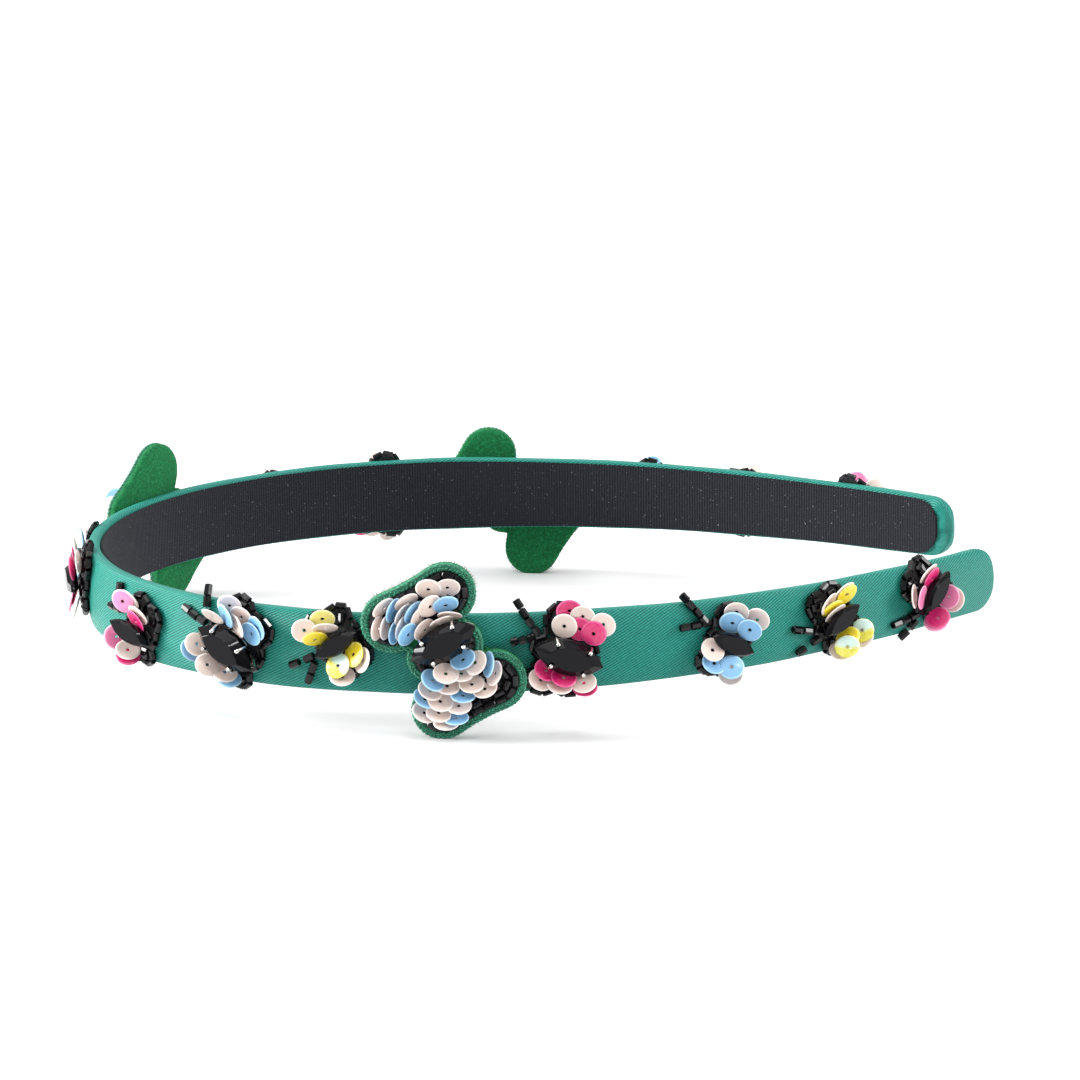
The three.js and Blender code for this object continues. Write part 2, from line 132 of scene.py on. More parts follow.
BLUE_SEQUINS = [
    (1.3, 7.6, "pearl", 0.8, 240), (3.4, 5.6, "cream", 0.7, 225), (6.2, 3.8, "sky", 0.5, 205),
    (5.2, 2.8, "sky", 0.6, 212), (2.8, 4.1, "cream", 0.3, 203), (0.6, 5.8, "sky", 0.3, 207),
    (-1.5, 5.9, "cream", 0.32, 239), (-5.7, -0.3, "sky", 0.8, 45), (-4.7, 0.8, "cream", 0.85, 45),
    (1.0, -5.0, "sky", 0.7, 80), (0.3, -4.0, "cream", 0.75, 80), (-2.7, -2.7, "cream", 0.9, 60),
]
MAGENTA_SEQUINS = [
    (-0.1, 8.4, "hot", 0.85, 270), (2.2, 7.4, "cream", 0.85, 260), (5.8, 6.0, "cream", 0.88, 240),
    (1.7, 5.2, "hot", 0.9, 255), (4.1, 4.4, "hot", 0.93, 240), (-1.0, 5.7, "cream", 0.92, 250),
    (-5.1, -3.7, "cream", 0.85, 60), (-1.8, -4.7, "cream", 0.7, 80), (2.6, -5.2, "hot", 0.7, 90),
    (-4.1, -2.0, "hot", 0.85, 60), (-1.1, -3.3, "hot", 0.78, 80), (2.4, -4.2, "cream", 0.8, 100),
]
SKY_SEQUINS = [
    (0.2, 5.8, "cream", 0.8, 270), (3.9, 4.4, "cream", 0.88, 240), (-0.5, 3.9, "sky", 0.8, 270),
    (2.5, 2.7, "sky", 0.83, 250), (-0.7, -5.2, "cream", 0.85, 90), (-3.7, -3.1, "sky", 0.85, 60),
    (-0.7, -3.7, "sky", 0.93, 90), (-4.0, -0.8, "cream", 0.87, 45),
]
YELLOW_SEQUINS = [
    (-2.1, 4.7, "lemon", 0.74, 270), (-5.3, 2.7, "cream", 0.93, 260), (-1.6, 3.2, "cream", 0.33, 272),
    (-3.4, 1.1, "yellow", 0.52, 280), (1.3, -5.4, "cream", 0.78, 90), (5.0, -2.5, "cream", 0.55, 170),
    (3.3, -1.5, "yellow", 0.7, 165), (0.6, -3.5, "opal", 0.85, 150),
]
PINK_SEQUINS = [
    (0.3, 6.0, "cream", 0.32, 223), (-1.0, 5.5, "rose", 0.75, 220), (1.9, 3.2, "cream", 0.36, 225),
    (1.3, 2.2, "hot", 0.3, 216), (-0.3, -3.9, "hot", 0.68, 75), (-2.5, -0.7, "rose", 0.88, 30),
    (-0.3, -3.0, "cream", 0.68, 70),
]
ARM_YELLOW_SEQUINS = [
    (0.0, 5.3, "cream", 0.32, 312), (0.5, 4.6, "yellow", 0.5, 315), (-3.2, 3.2, "cream", 0.27, 327),
    (-2.2, 2.2, "yellow", 0.32, 306), (-1.6, 1.5, "cream", 0.24, 311), (3.4, -2.9, "cream", 0.88, 120),
    (-0.3, -5.2, "cream", 0.8, 90), (0.8, -2.7, "yellow", 0.8, 110), (3.4, -1.7, "opal", 0.93, 130),
    (-0.3, -4.3, "opal", 0.85, 100),
]
TIP_PINK_SEQUINS = [
    (-2.1, 3.5, "cream", 0.22, 320), (-1.2, 2.5, "hot", 0.36, 328), (-4.7, -0.6, "cream", 0.2, 2),
    (-3.4, -0.7, "rose", 0.28, 349), (2.8, -1.2, "cream", 0.78, 170), (-0.4, -5.1, "rose", 0.8, 100),
    (1.9, -0.7, "rose", 0.85, 170), (-0.1, -4.4, "hot", 0.83, 100),
]

# Butterflies from crown to tip on each arm: name, kind, station, height and heading, then its
# own sequins or the name of the butterfly whose sequins it repeats, the colours that it changes
# and the share of their lean that it keeps
BUTTERFLIES = [
    ("crown_front_pink", "small", 5, 1.6, 160, "arm_sky", {"sky": "hot"}, 0.4),
    ("front_pink", "small", 33, -1.2, 157, PINK_SEQUINS),
    ("front_blue", "medium", 54.3, -0.1, 150, BLUE_SEQUINS),
    ("front_yellow", "small", 72.7, 2, 213, YELLOW_SEQUINS),
    ("front_patch", "large", 89.5, 1.3, 209, PATCH_SEQUINS),
    ("front_magenta", "medium", 108.7, -0.1, 161, MAGENTA_SEQUINS),
    ("arm_sky", "small", 136.6, -0.9, 153, SKY_SEQUINS),
    ("arm_yellow", "small", 157.8, 0.1, 210, ARM_YELLOW_SEQUINS),
    ("tip_pink", "small", 179.5, 1.2, 227, TIP_PINK_SEQUINS),
    ("crown_back_blue", "small", -14.5, 0.5, 20, "arm_sky", {}, 0.6),
    ("crown_patch", "large", -43, 0.8, 318, "front_patch"),
    ("back_yellow", "small", -66, 0, 30, "front_yellow"),
    ("back_pink", "medium", -88.5, -0.2, 20, "front_magenta"),
    ("back_patch", "large", -111, -2.3, 305, "front_patch"),
    ("back_sky", "small", -136.5, 0.1, 28, "arm_sky"),
    ("back_dusk", "small", -155, 0, 340, "arm_sky", {"sky": "pearl"}),
    ("back_tip_rose", "small", -176.2, 0.6, 25, "arm_sky", {"sky": "rose"}),
]

# First and last bead of each antenna, in the same view, and how many beads it has
ANTENNAE = {
    "front_pink": [((-2.9, 5.4), (-2.9, 7.6), 2), ((-2.9, 4.0), (-4.3, 4.4), 2)],
    "front_blue": [((-3.2, 5.9), (-3.9, 9.8), 3), ((-4.2, 4.7), (-7.2, 6.6), 3)],
    "front_yellow": [((-4.6, -2.3), (-7.2, -3.4), 2), ((-3.9, -3.9), (-4.7, -6.0), 2)],
    "front_magenta": [((-5.7, 4.8), (-8.5, 9.0), 4), ((-6.6, 3.5), (-9.3, 2.8), 3)],
    "arm_sky": [((-5.2, 4.4), (-8.0, 7.9), 4), ((-4.9, 3.7), (-8.3, 3.0), 3)],
    "arm_yellow": [((-4.2, -2.0), (-7.8, -1.6), 3), ((-4.4, -3.6), (-6.8, -5.3), 2)],
    "tip_pink": [((-4.0, -4.2), (-7.0, -5.5), 3), ((-4.0, -5.6), (-5.2, -7.4), 2)],
}

# Stones that hang out of level, in degrees and millimetres of lift
SWUNG_STONES = {"front_pink": (18, 0.4)}


def view_axes():
    """Right, up and forward of the photograph's view"""
    right = np.array([math.cos(VIEW_YAW), -math.sin(VIEW_YAW), 0])
    ahead = np.array([math.sin(VIEW_YAW), math.cos(VIEW_YAW), 0])
    forward = ahead * math.cos(VIEW_ELEVATION) - UP * math.sin(VIEW_ELEVATION)
    up = ahead * math.sin(VIEW_ELEVATION) + UP * math.cos(VIEW_ELEVATION)
    side = right * math.cos(VIEW_ROLL) - up * math.sin(VIEW_ROLL)
    top = right * math.sin(VIEW_ROLL) + up * math.cos(VIEW_ROLL)
    return side, top, forward


VIEW_SIDE, VIEW_TOP, VIEW_FORWARD = view_axes()


def band_frame(stations):
    """Middle line of the band: place, way of rising station and way out, at signed stations"""
    stations = np.atleast_1d(np.asarray(stations, float))
    side = np.where(stations < 0, -1.0, 1.0)
    left = np.abs(stations)
    turn = np.zeros_like(left)
    x = np.zeros_like(left)
    y = np.zeros_like(left)
    for index, (length, radius) in enumerate(BAND_ARCS):
        run = left if index == len(BAND_ARCS) - 1 else np.minimum(left, length)
        nxt = turn + run / radius
        x += radius * (np.cos(turn) - np.cos(nxt))
        y += radius * (np.sin(nxt) - np.sin(turn))
        turn = nxt
        left = left - run
    zero = np.zeros_like(x)
    place = np.stack([x, -side * y, zero], 1)
    along = np.stack([side * np.sin(turn), -np.cos(turn), zero], 1)
    outward = np.stack([-np.cos(turn), -side * np.sin(turn), zero], 1)
    return place, along, outward


def band_width(distance):
    middle = HALF_LENGTH / 2
    distance = np.asarray(distance, float)
    near = WIDTH_CROWN + (WIDTH_MIDDLE - WIDTH_CROWN) * distance / middle
    far = WIDTH_MIDDLE + (WIDTH_TIP - WIDTH_MIDDLE) * (distance - middle) / middle
    return np.where(distance < middle, near, far)


def unit(vectors):
    """Vectors at length 1"""
    return vectors / np.linalg.norm(vectors, axis=-1, keepdims=True)


class Seat:
    """One butterfly, and how places over it turn into the band's own frame"""

    def __init__(self, name, kind, station, height, heading, sequins, recolour=(), lean_share=1):
        self.name, self.kind, self.form = name, kind, FORMS[kind]
        self.station, self.height = station, height
        self.sequins, self.recolour, self.lean_share = sequins, dict(recolour), lean_share
        self.bed_top, self.gem = self.form["bed_top"], self.form["gem"]
        self.stone_bottom = self.bed_top + LAYER_GAP
        if kind != "small":
            self.stone_bottom += CUP_THICKNESS + LAYER_GAP
        place, along, self.outward = (v[0] for v in band_frame(station))
        angle = math.radians(heading)
        self.sine, self.cosine = math.sin(angle), math.cos(angle)
        self.head = along * self.cosine + UP * self.sine
        self.right = along * self.sine - UP * self.cosine
        self.origin = place + self.outward * (OUTER_FACE + SEAT_GAP) + UP * height

    def flat(self, points):
        """Points given as right, ahead and out"""
        points = np.asarray(points, float).reshape(-1, 3)
        return self.origin + points @ np.stack([self.right, self.head, self.outward])

    def on_band(self, points):
        """The same, but out is measured from the curved cover under each point"""
        right, ahead, out = np.asarray(points, float).reshape(-1, 3).T
        up = -right * self.cosine + ahead * self.sine + self.height
        station = self.station + (right * self.sine + ahead * self.cosine)
        place, _, outward = band_frame(station)
        half_width = band_width(np.abs(station)) / 2
        drop = COVER_CROWN * np.minimum((up / half_width) ** 2, 1.0)
        # From half a millimetre inside the edge the cover rolls away
        roll = np.maximum(np.abs(up) - half_width + 0.5, 0) * 0.5
        return place + outward * (OUTER_FACE - drop - roll + out)[:, None] + UP * up[:, None]

    def seen_at(self, x, y, out):
        """Right and ahead of the place at a height that shows at x and y from the stone"""
        stone = np.array([*self.form["stone"], self.stone_bottom + 0.7 * self.gem["height"]])
        depth = (self.flat(stone)[0] - VIEW_PLACE) @ VIEW_FORWARD
        view = np.stack([VIEW_SIDE, VIEW_TOP])
        shown = np.array([x, y]) * depth / VIEW_DEPTH - view @ self.outward * (out - stone[2])
        return stone[:2] + np.linalg.solve(view @ np.stack([self.right, self.head], 1), shown)

    def leaning(self, open_share, facing):
        """Lean of a face and the way that it leans over the seat, from how it shows"""
        back = unit(VIEW_PLACE - self.origin)
        side = VIEW_SIDE - back * (VIEW_SIDE @ back)
        top = VIEW_TOP - back * (VIEW_TOP @ back)
        angle = math.radians(facing)
        tilt = unit(side * math.cos(angle) + top * math.sin(angle))
        normal = back * open_share + tilt * math.sqrt(1 - open_share ** 2)
        right, head, out = normal @ self.right, normal @ self.head, normal @ self.outward
        lean = min(math.degrees(math.atan2(math.hypot(right, head), out)), STEEPEST_LEAN)
        return lean, math.degrees(math.atan2(head, right))


SEATS = [Seat(*row) for row in BUTTERFLIES]


def rest_pose():
    """How the CAD's headband is turned and moved where it lies, from the middles of its stones"""
    drawn, found = [], []
    for seat in SEATS:
        middle = seat.stone_bottom + seat.gem["height"] * (1 + GIRDLE_SHARE) / 3
        drawn.append(seat.flat((*seat.form["stone"], middle))[0])
        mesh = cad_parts[seat.name + "_stone"].data
        points = np.array([v.co for v in mesh.vertices]) / MM
        found.append(np.unique(points.round(3), axis=0).mean(0))
    drawn, found = np.array(drawn), np.array(found)
    u, _, vt = np.linalg.svd((drawn - drawn.mean(0)).T @ (found - found.mean(0)))
    flip = np.diag([1, 1, np.sign(np.linalg.det(vt.T @ u.T))])
    turn = vt.T @ flip @ u.T
    return turn, found.mean(0) - turn @ drawn.mean(0)


REST_TURN, REST_MOVE = rest_pose()


def at_rest(points):
    """From the band's own frame to the frame of the CAD, in millimetres"""
    return np.asarray(points, float) @ REST_TURN.T + REST_MOVE


class Shape:
    """Points, faces, finish numbers and cloth coordinates of one piece while it is built"""

    def __init__(self):
        self.points, self.faces, self.finishes, self.spots = [], [], [], []
        self.total = 0

    def add(self, points, faces, finish=0, spots=None):
        points = np.asarray(points, float).reshape(-1, 3)
        self.points.append(points)
        self.spots.append(np.zeros((len(points), 2)) if spots is None else spots)
        self.close((np.asarray(faces) + self.total).tolist(), finish)
        self.total += len(points)

    def close(self, faces, finish=0):
        """Add faces between points that are already there"""
        self.faces.extend(faces)
        self.finishes.extend([finish] * len(faces))


def make_piece(name, shape, materials, crease):
    """A piece of the object from a shape in the band's own frame"""
    mesh = bpy.data.meshes.new(name)
    points = at_rest(np.vstack(shape.points))
    # Yarn and fibres at the edge that the headband lies on are pressed flat on the floor
    points[:, 2] = np.maximum(points[:, 2], FLOOR_CLEARANCE)
    mesh.from_pydata((points * MM).tolist(), [], shape.faces)
    corner = np.empty(len(mesh.loops), int)
    mesh.loops.foreach_get("vertex_index", corner)
    layer = mesh.uv_layers.new(name="spot")
    layer.data.foreach_set("uv", np.vstack(shape.spots)[corner].ravel())
    for material in materials:
        mesh.materials.append(material)
    mesh.polygons.foreach_set("material_index", shape.finishes)
    mesh.polygons.foreach_set("use_smooth", [True] * len(shape.faces))
    mesh.set_sharp_from_angle(angle=math.radians(crease))
    mesh.update()
    piece = bpy.data.objects.new(name, mesh)
    bpy.context.scene.collection.objects.link(piece)
    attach(piece, "root")
    return piece


def grid_faces(rows, columns, close_rows=False):
    """Quads over points that are stored row by row, each row a closed ring"""
    i = np.arange(rows if close_rows else rows - 1)
    i, j = (v.ravel() for v in np.meshgrid(i, np.arange(columns), indexing="ij"))
    i2, j2 = (i + 1) % rows, (j + 1) % columns
    return np.stack([i * columns + j, i * columns + j2, i2 * columns + j2, i2 * columns + j], 1)


def fan(ring, turn=1):
    """Triangles over a ring of point numbers, the other way round if turn is -1"""
    return [[ring[0], ring[i], ring[i + 1]][::turn] for i in range(1, len(ring) - 1)]


def ladder(left, right, turn=1):
    """Faces from rung to rung of two lines of point numbers; where they meet, triangles"""
    rungs = zip(left, left[1:], right[1:], right)
    return [list(dict.fromkeys(corners))[::turn] for corners in rungs]


def at_height(flat, height):
    return np.column_stack([flat, np.full(len(flat), height)])


def revolve(profile, steps):
    """Closed ring of a profile given as radius and height, around Z"""
    profile = np.asarray(profile, float)
    angle = np.arange(steps) * math.tau / steps
    x = np.outer(np.cos(angle), profile[:, 0])
    y = np.outer(np.sin(angle), profile[:, 0])
    z = np.broadcast_to(profile[:, 1], x.shape)
    return np.stack([x, y, z], 2).reshape(-1, 3), grid_faces(steps, len(profile), True)


def run_along(path):
    """Distance along a path at each of its points"""
    return np.concatenate([[0], np.cumsum(np.linalg.norm(np.diff(path, axis=0), axis=1))])


def tube(path, radius, sides, closed=False, up=UP):
    """Tube along a path, with a radius for each point or one for all"""
    path = np.asarray(path, float)
    if closed:
        tangent = unit(np.roll(path, -1, 0) - np.roll(path, 1, 0))
    else:
        tangent = unit(np.gradient(path, axis=0))
    across = unit(np.cross(tangent, up))
    lift = np.cross(across, tangent)
    angle = np.arange(sides) * math.tau / sides
    radius = np.broadcast_to(radius, len(path))[:, None, None]
    ring = across[:, None] * np.cos(angle)[None, :, None] + lift[:, None] * np.sin(angle)[None, :, None]
    points = path[:, None] + ring * radius
    spots = np.stack(np.broadcast_arrays(run_along(path)[:, None], angle[None]), 2).reshape(-1, 2)
    return points.reshape(-1, 3), grid_faces(len(path), sides, closed), spots


# Materials


class Nodes:
    """Puts together the nodes of a material or of the world"""

    def __init__(self, tree):
        self.tree = tree

    def put(self, value, socket):
        """Link a socket to another one, or set it to a plain value"""
        if isinstance(value, bpy.types.NodeSocket):
            self.tree.links.new(value, socket)
        else:
            socket.default_value = value

    def add(self, kind, **values):
        """New node, with each value in the setting or socket of its name"""
        made = self.tree.nodes.new("ShaderNode" + kind)
        for key, value in values.items():
            if hasattr(made, key):
                setattr(made, key, value)
            else:
                self.put(value, made.inputs[key])
        return made

    def math(self, operation, *values):
        made = self.add("Math", operation=operation)
        for value, socket in zip(values, made.inputs):
            self.put(value, socket)
        return made.outputs[0]

    def plus(self, first, second):
        return self.math("ADD", first, second)

    def times(self, first, second):
        return self.math("MULTIPLY", first, second)

    def cloth(self, operation, vector=(0, 0, 0)):
        """The cloth coordinates' length, or their product with a vector"""
        made = self.add("VectorMath", operation=operation)
        self.put(self.add("UVMap", uv_map="spot").outputs[0], made.inputs[0])
        self.put(vector, made.inputs[1])
        return made.outputs["Value"]

    def wave(self, angle, pitch):
        """Sine from -1 to 1 across lines at an angle in degrees, in cloth coordinates"""
        way = math.radians(angle + 90)
        scale = math.tau / pitch
        vector = (math.cos(way) * scale, math.sin(way) * scale, 0)
        return self.math("SINE", self.cloth("DOT_PRODUCT", vector))

    def noise(self, scale, detail=3, roughness=0.5):
        """Noise fixed to the object, with its scale in bumps a metre"""
        place = self.add("TexCoord").outputs["Object"]
        made = self.add("TexNoise", Vector=place, Scale=scale, Detail=detail, Roughness=roughness)
        return made.outputs["Fac"]

    def ramp(self, factor, *stops):
        """Colours that blend from stop to stop"""
        made = self.add("ValToRGB")
        elements = made.color_ramp.elements
        while len(elements) < len(stops):
            elements.new(0.5)
        for element, (position, colour) in zip(elements, stops):
            element.position = position
            element.color = (*colour, 1)
        self.put(factor, made.inputs[0])
        return made.outputs[0]

    def blend(self, factor, first, second):
        """Mix of a colour's socket with a plain colour"""
        made = self.add("Mix", data_type="RGBA")
        for value, index in ((factor, 0), (first, 6), ((*second, 1), 7)):
            self.put(value, made.inputs[index])
        return made.outputs[2]


class Look(Nodes):
    """One material; cloth sizes are in millimetres and bumps in metres"""

    def __init__(self, name, colour, roughness, **settings):
        self.material = bpy.data.materials.new(name)
        self.material.use_nodes = True
        self.material.diffuse_color = (*colour, 1)
        super().__init__(self.material.node_tree)
        self.shader = self.tree.nodes["Principled BSDF"].inputs
        self.shader["Base Color"].default_value = (*colour, 1)
        self.shader["Roughness"].default_value = roughness
        for setting, value in settings.items():
            self.shader[setting.replace("_", " ")].default_value = value

    def colour(self, socket):
        self.put(socket, self.shader["Base Color"])

    def scuffed(self, noise, share, least):
        """Roughness that follows a noise"""
        self.put(self.plus(self.times(noise, share), least), self.shader["Roughness"])

    def bump(self, height, distance, strength):
        made = self.add("Bump", Height=height, Distance=distance, Strength=strength)
        self.put(made.outputs[0], self.shader["Normal"])


def satin_material():
    """Fine twill satin: slanting ribs broken into small stitches, with a painted highlight on their
    crests and painted shade between them
    """
    look = Look(
        "satin_teal", (0.02, 0.24, 0.18), 0.42, Sheen_Weight=0.06, Sheen_Roughness=0.35,
        Sheen_Tint=(0.45, 1, 0.85, 1), Specular_IOR_Level=0.24,
    )
    ribs = look.wave(28, 0.41)
    stitches = look.wave(-55, 0.5)
    broken = look.times(ribs, look.math("MULTIPLY_ADD", stitches, 0.3, 0.5))
    height = look.plus(ribs, look.times(stitches, 0.25))
    share = look.plus(look.times(height, 0.24), look.times(broken, 0.1))
    patchy = look.times(look.noise(2200, 4, 0.7), 0.6)
    share = look.plus(share, look.plus(patchy, 0.2))
    # Base colour runs from painted shade in the weave's troughs, through teal, to a painted highlight on
    # its crests, shifted by a random patchy tone
    dark, middle, pale = (0.002, 0.08, 0.062), (0.006, 0.165, 0.128), (0.03, 0.33, 0.27)
    look.colour(look.ramp(share, (0.0, dark), (0.5, middle), (1.0, pale)))
    look.bump(height, 0.00005, 0.8)
    return look.material


def ribbon_material():
    """Black ribbon with fine ribs across it, a painted highlight on their crests and painted shade
    between them, and a little pale lint
    """
    look = Look(
        "ribbon_black", (0.008, 0.009, 0.013), 0.8,
        Specular_IOR_Level=0.15, Sheen_Weight=0.05, Sheen_Roughness=0.5,
    )
    height = look.plus(look.wave(90, 0.5), look.times(look.wave(0, 0.34), 0.6))
    lint = look.math("GREATER_THAN", look.noise(2600, 2, 0.6), 0.71)
    # Base colour: rib height adds painted highlight and painted shade; the pale lint flecks are real
    share = look.plus(look.plus(look.times(height, 0.1), 0.25), look.times(lint, 0.6))
    dark, middle, pale = (0.003, 0.0035, 0.006), (0.014, 0.016, 0.022), (0.2, 0.18, 0.2)
    look.colour(look.ramp(share, (0.0, dark), (0.45, middle), (1.0, pale)))
    look.bump(height, 0.00006, 0.7)
    return look.material


def felt_material():
    """Dense green felt with matted fibres"""
    look = Look(
        "felt_green", (0.004, 0.11, 0.04), 0.95, Specular_IOR_Level=0.15,
        Sheen_Weight=0.15, Sheen_Roughness=0.6, Sheen_Tint=(0.4, 1, 0.6, 1),
    )
    fibres = look.noise(2400, 6, 0.75)
    dark, middle, pale = (0.001, 0.035, 0.01), (0.004, 0.14, 0.04), (0.05, 0.36, 0.13)
    look.colour(look.ramp(fibres, (0.28, dark), (0.55, middle), (0.78, pale)))
    look.bump(fibres, 0.0003, 0.8)
    return look.material


def yarn_material():
    """Green cotton yarn with its plies showing as slanting lines of painted highlight and painted shade
    over a random mottle
    """
    look = Look(
        "yarn_green", (0.006, 0.2, 0.1), 0.6,
        Sheen_Weight=0.4, Sheen_Roughness=0.4, Sheen_Tint=(0.4, 1, 0.75, 1),
    )
    share = look.plus(look.times(look.wave(60, 0.55), 0.22), look.noise(3500, 3, 0.6))
    # Base colour: the ply wave paints highlight and shade on the twist, and the pale stop is a painted
    # highlight
    dark, middle, pale = (0.001, 0.03, 0.016), (0.003, 0.12, 0.06), (0.05, 0.42, 0.25)
    look.colour(look.ramp(share, (0.2, dark), (0.5, middle), (0.85, pale)))
    look.bump(share, 0.0001, 0.8)
    return look.material


def sequin_material(name, colour, edge, roughness=0.3, far=None):
    """Pearly plastic disc, mottled, with faint rings pressed round its hole. It is darker round the hole
    and paler at the rim, where the edge colour is a painted highlight. A far colour takes over across
    the disc."""
    look = Look(
        "sequin_" + name, colour, roughness,
        Specular_IOR_Level=0.5, Coat_Weight=0.25, Coat_Roughness=0.12,
    )
    reach = look.cloth("LENGTH")
    rings = look.math("SINE", look.times(reach, math.tau / 0.27))
    grain = look.noise(5200, 2, 0.6)
    mottle = look.noise(1500, 5, 0.65)
    share = look.plus(look.times(reach, 1 / SEQUIN_RADIUS), look.times(grain, 0.16))
    dark = tuple(c * 0.6 for c in colour)
    # Darker round the hole, the disc's colour across its face, and the edge colour as a painted rim
    # highlight
    tint = look.ramp(share, (0.15, dark), (0.32, colour), (0.95, colour), (1.0, edge))
    if far:
        side = look.plus(look.cloth("DOT_PRODUCT", (0.5, 0.3, 0)), mottle)
        tint = look.blend(look.ramp(side, (0.35, (0, 0, 0)), (0.75, (1, 1, 1))), tint, far)
    pale = tuple(c * 0.75 + 0.25 for c in colour)
    cloudy = look.ramp(mottle, (0.42, (0, 0, 0)), (0.75, (0.22, 0.22, 0.22)))
    look.colour(look.blend(cloudy, tint, pale))
    look.bump(look.plus(look.times(rings, 0.4), grain), 0.00004, 0.7)
    return look.material


def bead_material():
    """Black cut glass"""
    look = Look("glass_bead_black", (0.003, 0.003, 0.004), 0.14, Specular_IOR_Level=0.3)
    look.scuffed(look.noise(3000, 2), 0.14, 0.02)
    return look.material


def stone_material():
    """Black faceted glass, polished, with faint scuffs on its table"""
    look = Look("glass_stone_black", (0.003, 0.003, 0.004), 0.07, Specular_IOR_Level=0.16)
    look.scuffed(look.noise(700, 4, 0.6), 0.12, 0.03)
    return look.material


def silver_material():
    look = Look("silver", (0.62, 0.61, 0.59), 0.25, Metallic=1.0)
    look.scuffed(look.noise(1500, 3), 0.2, 0.08)
    return look.material


def base_material():
    """Black stitched ground between the beads"""
    look = Look("thread_black", (0.006, 0.006, 0.007), 0.8)
    knots = look.noise(2500, 3)
    look.colour(look.ramp(knots, (0.35, (0.002, 0.002, 0.003)), (0.75, (0.02, 0.02, 0.022))))
    look.bump(knots, 0.0003, 0.8)
    return look.material


SATIN = satin_material()
RIBBON = ribbon_material()
FELT = felt_material()
YARN = yarn_material()
BEAD = bead_material()
STONE = stone_material()
SILVER = silver_material()
GROUND = base_material()
# Each sequin colour: its own colour, the painted highlight at its rim, then roughness and a far colour
# where given
SEQUIN_LOOKS = {
    "cream": ((0.69, 0.56, 0.5), (0.8, 0.72, 0.68)),
    "sky": ((0.19, 0.42, 0.68), (0.38, 0.62, 0.82)),
    "hot": ((0.62, 0.006, 0.13), (0.76, 0.08, 0.26), 0.28),
    "rose": ((0.8, 0.2, 0.4), (0.88, 0.4, 0.56)),
    "yellow": ((0.8, 0.62, 0.01), (0.88, 0.76, 0.15), 0.28),
    "lemon": ((0.82, 0.78, 0.22), (0.88, 0.86, 0.5)),
    "opal": ((0.62, 0.82, 0.74), (0.9, 0.9, 0.55), 0.18, (0.72, 0.66, 0.05)),
    "pearl": ((0.6, 0.58, 0.6), (0.8, 0.78, 0.8), 0.2),
}
SEQUIN_COLOURS = list(SEQUIN_LOOKS)
SEQUINS = [sequin_material(name, *look) for name, look in SEQUIN_LOOKS.items()]


# Band


def strip_stations(end, step):
    """Stations from tip to tip, closer together round the tips, with the width lost at each"""
    straight = end - TIP_CORNER
    middle = np.linspace(0, straight, int(straight / step) + 1)
    angle = np.linspace(0, math.pi / 2, 15)[1:]
    distance = np.concatenate([middle, straight + TIP_CORNER * np.sin(angle)])
    lost = np.concatenate([np.zeros(len(middle)), TIP_CORNER * (1 - np.cos(angle))])
    return np.concatenate([-distance[:0:-1], distance]), np.concatenate([lost[:0:-1], lost])


def make_cover():
    """Padded satin cover: crowned outer face, soft rolled edges and small gathers round the tips"""
    distance, lost = strip_stations(HALF_LENGTH, COVER_STEP)
    half_width = band_width(np.abs(distance)) / 2 - lost
    place, _, outward = band_frame(distance)
    outer = -np.cos(np.linspace(0, math.pi, 25))
    inner = np.cos(np.linspace(0, math.pi, 19))[1:-1]
    share = np.concatenate([outer, inner])
    is_outer = np.concatenate([np.ones(len(outer)), np.zeros(len(inner))])
    middle = (COVER_SEAT + OUTER_FACE - COVER_CROWN) / 2
    thick = OUTER_FACE - COVER_CROWN - middle
    edge = np.maximum(1 - np.abs(share) ** EDGE_SQUARENESS, 0) ** (1 / EDGE_SQUARENESS)
    face = np.where(is_outer > 0, thick + COVER_CROWN * (1 - share ** 2), -thick) * edge
    # The end closes in a short rounded nose
    to_end = HALF_LENGTH - np.abs(distance)
    nose = np.sqrt(np.clip(1 - (1 - np.clip(to_end / NOSE_LENGTH, 0, 1)) ** 2, 0.02, 1))[:, None]
    up = half_width[:, None] * share
    out = middle + face * nose
    # Slight slackness of hand-covered padding
    station = distance[:, None]
    slack = SLACK * np.sin(station * 0.41 + 3 * share) * np.sin(station * 0.173 + 1)
    out = out + np.where(is_outer > 0, slack, 0)
    up = up + EDGE_WANDER * np.sin(station * 0.23) * share ** 3
    # Gathers on the inner face between the ribbon's round end and the tip
    from_ribbon = np.abs(station) - (HALF_LENGTH - TIP_CORNER - LINING_TIP_MARGIN)
    around = np.arctan2(up, np.maximum(from_ribbon, 1e-3))
    near = np.clip((from_ribbon + 1.5) / 3, 0, 1)
    pleat = PLEAT_DEPTH * np.maximum(np.sin(around * PLEATS + 0.6), -0.4) * near * (1 - is_outer)
    out = out - pleat * nose
    points = place[:, None] + outward[:, None] * out[..., None] + UP * up[..., None]
    rows, columns = len(distance), len(share)
    # The cloth is measured round the section both ways from the middle of the outer face, and
    # the two ends meet under the ribbon
    crown = rows // 2
    section = np.stack([up[crown], out[crown]], 1)
    step = np.linalg.norm(section - np.roll(section, 1, 0), axis=1)
    start, under = len(outer) // 2, len(outer) + len(inner) // 2
    backward = np.arange(start, under - columns, -1) % columns
    cloth = np.zeros(columns)
    cloth[start + 1:under + 1] = np.cumsum(step[start + 1:under + 1])
    cloth[backward[1:]] = -np.cumsum(step[backward[:-1]])
    cloth = half_width[:, None] / half_width[crown] * cloth
    spots = np.stack(np.broadcast_arrays(station, cloth), 2).reshape(-1, 2)
    shape = Shape()
    shape.add(points, grid_faces(rows, columns)[:, ::-1], 0, spots)
    half = columns // 2
    for first, turn in ((0, 1), ((rows - 1) * columns, -1)):
        ring = list(range(first, first + columns))
        shape.close(ladder(ring[:half], ring[:half - 1:-1], turn))
    cover = make_piece("satin_cover", shape, [SATIN], 60)
    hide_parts("band_cover")


